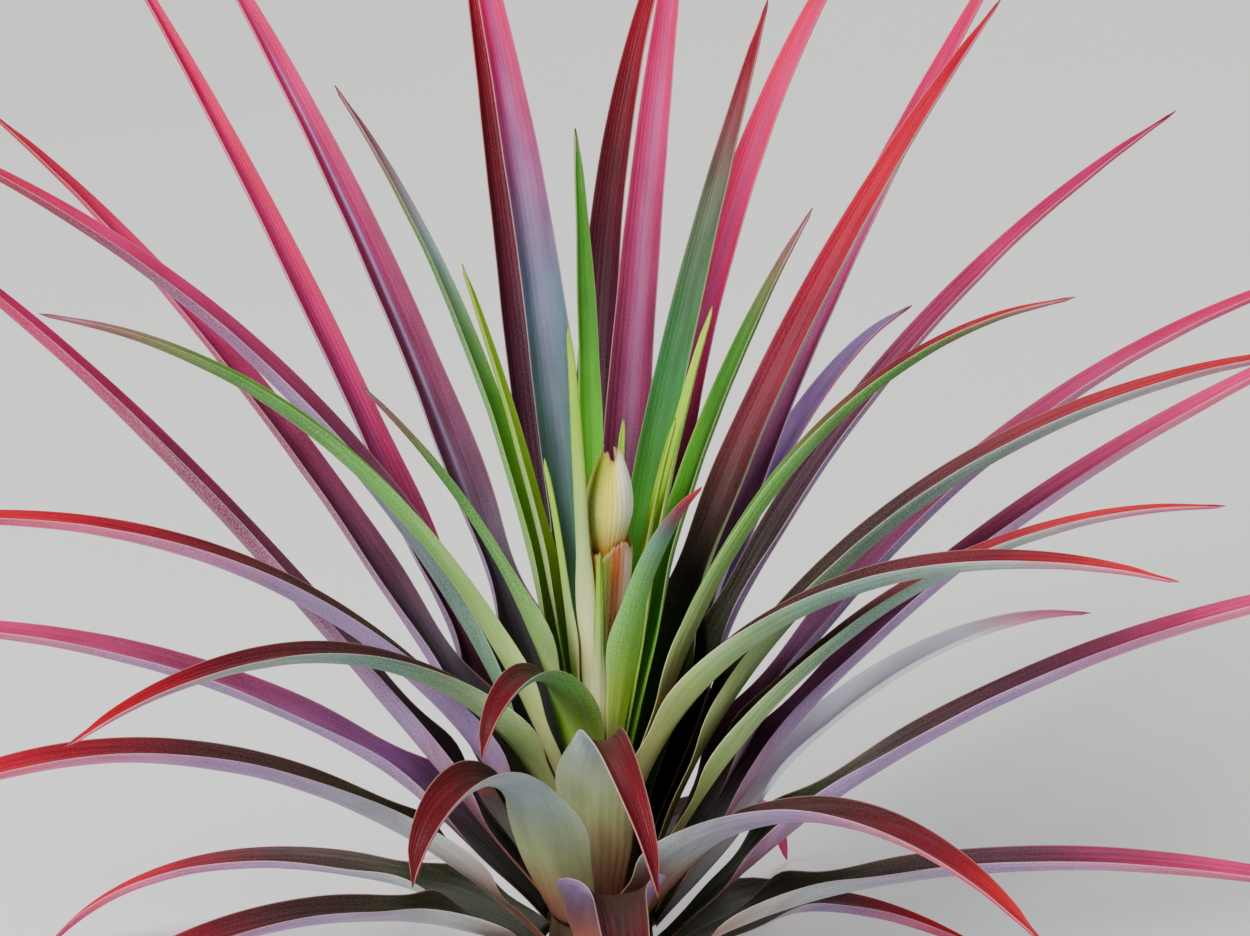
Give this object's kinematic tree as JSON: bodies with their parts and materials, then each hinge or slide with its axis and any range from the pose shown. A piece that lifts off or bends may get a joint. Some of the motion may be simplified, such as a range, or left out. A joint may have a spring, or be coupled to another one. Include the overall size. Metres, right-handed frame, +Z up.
{
  "type": "tillandsia plant",
  "caption": "Air plant: a rosette of narrow, channelled, tapering leaves on a short woody stem, with a young flower spike in its heart.",
  "frame": {"origin": "centre of the stem's flat underside, on the surface the plant rests on", "axes": "+Z up along the stem to the flower spike, -Y towards the side the picture shows, +X to the picture's right"},
  "size_m": [0.3482, 0.2201, 0.2333],
  "materials": {
    "young_leaf": "satin",
    "green_leaf": "satin",
    "olive_leaf": "satin",
    "mauve_leaf": "satin, silvery with fine scales",
    "wine_leaf": "satin",
    "old_leaf": "matt, drying",
    "bract_lower": "papery",
    "bract_upper": "papery",
    "stem": "fibrous"
  },
  "bodies": {
    "root": {"bract_lower": "bract_lower", "bract_upper": "bract_upper", "leaf_01_young": "young_leaf", "leaf_02_young": "young_leaf", "leaf_03_young": "young_leaf", "leaf_04_young": "young_leaf", "leaf_05_young": "young_leaf", "leaf_06_young": "young_leaf", "leaf_07_young": "young_leaf", "leaf_08_young": "young_leaf", "leaf_09_green": "green_leaf", "leaf_10_green": "green_leaf", "leaf_11_green": "green_leaf", "leaf_12_green": "green_leaf", "leaf_13_green": "green_leaf", "leaf_14_olive": "olive_leaf", "leaf_15_mauve": "mauve_leaf", "leaf_16_green": "green_leaf", "leaf_17_green": "green_leaf", "leaf_18_wine": "wine_leaf", "leaf_19_mauve": "mauve_leaf", "leaf_20_mauve": "mauve_leaf", "leaf_21_olive": "olive_leaf", "leaf_22_olive": "olive_leaf", "leaf_23_mauve": "mauve_leaf", "leaf_24_mauve": "mauve_leaf", "leaf_25_olive": "olive_leaf", "leaf_26_wine": "wine_leaf", "leaf_27_wine": "wine_leaf", "leaf_28_wine": "wine_leaf", "leaf_29_mauve": "mauve_leaf", "leaf_30_olive": "olive_leaf", "leaf_31_mauve": "mauve_leaf", "leaf_32_wine": "wine_leaf", "leaf_33_wine": "wine_leaf", "leaf_34_mauve": "mauve_leaf", "leaf_35_wine": "wine_leaf", "leaf_36_mauve": "mauve_leaf", "leaf_37_mauve": "mauve_leaf", "leaf_38_wine": "wine_leaf", "leaf_39_mauve": "mauve_leaf", "leaf_40_mauve": "mauve_leaf", "leaf_41_mauve": "mauve_leaf", "leaf_42_mauve": "mauve_leaf", "leaf_43_mauve": "mauve_leaf", "leaf_44_olive": "olive_leaf", "leaf_45_old": "old_leaf", "leaf_46_old": "old_leaf", "leaf_47_wine": "wine_leaf", "leaf_48_old": "old_leaf", "leaf_49_old": "old_leaf", "leaf_50_old": "old_leaf", "leaf_51_old": "old_leaf", "leaf_52_old": "old_leaf", "leaf_53_old": "old_leaf", "stem": "stem"}
  },
  "joints": []
}
